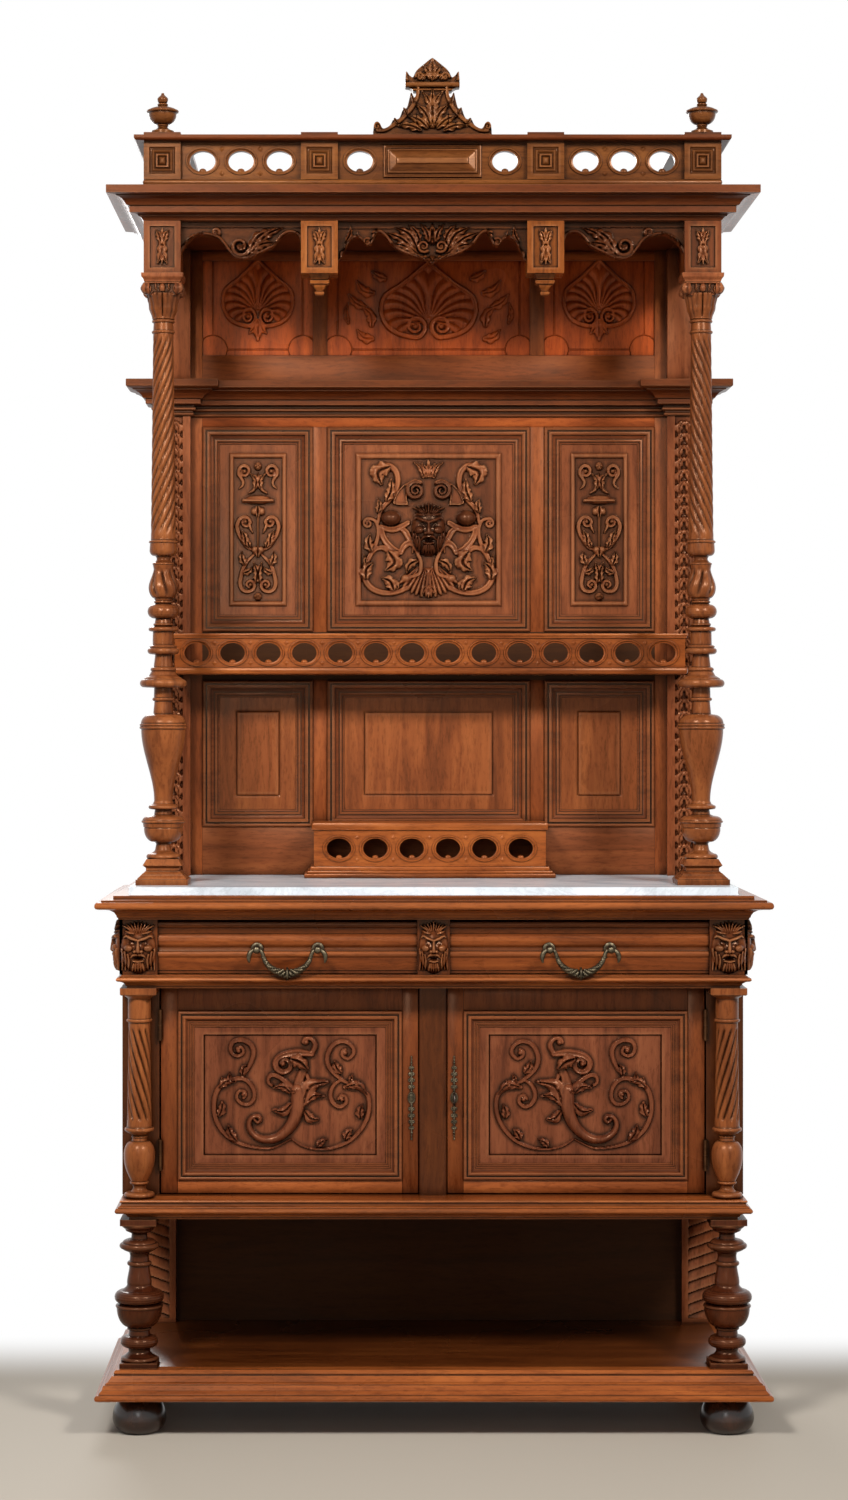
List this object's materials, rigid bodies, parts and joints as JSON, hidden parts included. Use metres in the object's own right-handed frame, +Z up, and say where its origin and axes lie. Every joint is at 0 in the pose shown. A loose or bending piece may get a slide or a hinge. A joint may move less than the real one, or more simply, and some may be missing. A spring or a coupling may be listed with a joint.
{
  "type": "two-part sideboard",
  "caption": "Tall carved walnut sideboard: doored base with drawers, open niche and marble top, under a columned upper part with panelled back, plate shelf, cornice and attic gallery.",
  "frame": {"origin": "centre of the overall box on the floor, under the feet", "axes": "+X to the right seen from the front, +Y towards the back, +Z up"},
  "size_m": [1.296, 0.56, 2.672],
  "materials": {
    "walnut": "satin",
    "ebonised_wood": "satin",
    "marble": "polished",
    "brass_fittings": "aged",
    "lock_steel": "dull"
  },
  "bodies": {
    "carcass": {"attic_cap": "walnut", "attic_gallery": "walnut", "base_back_panels": "walnut", "base_columns": "walnut", "bun_feet": "ebonised_wood", "canopy_board": "walnut", "carved_back_panels": "walnut", "cornice": "walnut", "crest": "walnut", "cupboard_floor": "walnut", "cupboard_shelf": "walnut", "cupboard_side_left": "walnut", "cupboard_side_right": "walnut", "drawer_floor": "walnut", "drawer_guides": "walnut", "finials": "walnut", "frieze_blocks": "walnut", "front_aprons": "walnut", "front_stiles": "walnut", "lower_balusters": "walnut", "marble_slabs": "marble", "mask_blocks": "walnut", "mid_cornice": "walnut", "niche_pilasters": "walnut", "panel_mouldings": "walnut", "plain_back_panels": "walnut", "plate_shelf": "walnut", "plinth": "walnut", "shell_panels": "walnut", "side_aprons": "walnut", "small_gallery": "walnut", "stile_hinge_leaves": "brass_fittings", "top_frame": "walnut", "upper_back_frame": "walnut", "upper_columns": "walnut", "upper_pilasters": "walnut"},
    "door_left": {"door_left_frame": "walnut", "door_left_panel": "walnut", "door_left_moulding": "walnut", "door_left_hinge_leaves": "brass_fittings", "door_left_escutcheon": "brass_fittings", "door_left_lock_case": "lock_steel"},
    "bolt_left": {"door_left_lock_bolt": "lock_steel"},
    "drawer_left": {"drawer_left_front": "walnut", "drawer_left_box": "walnut", "drawer_left_handle_posts": "brass_fittings"},
    "bail_left": {"drawer_left_bail": "brass_fittings"},
    "door_right": {"door_right_frame": "walnut", "door_right_panel": "walnut", "door_right_moulding": "walnut", "door_right_hinge_leaves": "brass_fittings", "door_right_escutcheon": "brass_fittings", "door_right_lock_case": "lock_steel"},
    "bolt_right": {"door_right_lock_bolt": "lock_steel"},
    "drawer_right": {"drawer_right_front": "walnut", "drawer_right_box": "walnut", "drawer_right_handle_posts": "brass_fittings"},
    "bail_right": {"drawer_right_bail": "brass_fittings"},
    "key": {"door_key": "lock_steel"}
  },
  "joints": [
    {"name": "door_left_swing", "type": "hinge", "parent": "carcass", "child": "door_left", "pos_m": [-0.5305, -0.161, 0.529], "axis": [0, 0, -1], "range_deg": [0, 90]},
    {"name": "bolt_left_throw", "type": "slide", "parent": "door_left", "child": "bolt_left", "axis": [1, 0, 0], "range_m": [0, 0.009]},
    {"name": "drawer_left_slide", "type": "slide", "parent": "carcass", "child": "drawer_left", "axis": [0, -1, 0], "range_m": [0, 0.3]},
    {"name": "bail_left_swing", "type": "hinge", "parent": "drawer_left", "child": "bail_left", "pos_m": [-0.281, -0.252, 0.935], "axis": [-1, 0, 0], "range_deg": [0, 95]},
    {"name": "door_right_swing", "type": "hinge", "parent": "carcass", "child": "door_right", "pos_m": [0.5305, -0.161, 0.529], "axis": [0, 0, 1], "range_deg": [0, 90]},
    {"name": "bolt_right_throw", "type": "slide", "parent": "door_right", "child": "bolt_right", "axis": [-1, 0, 0], "range_m": [0, 0.009]},
    {"name": "drawer_right_slide", "type": "slide", "parent": "carcass", "child": "drawer_right", "axis": [0, -1, 0], "range_m": [0, 0.3]},
    {"name": "bail_right_swing", "type": "hinge", "parent": "drawer_right", "child": "bail_right", "pos_m": [0.281, -0.252, 0.935], "axis": [-1, 0, 0], "range_deg": [0, 95]},
    {"name": "key_turn", "type": "hinge", "parent": "door_right", "child": "key", "pos_m": [0.0415, -0.1165, 0.64], "axis": [0, -1, 0], "range_deg": [0, 180]}
  ],
  "couplings": [
    {"joint": "key_turn", "follows": "bolt_right_throw", "rad_per_m": 348}
  ]
}
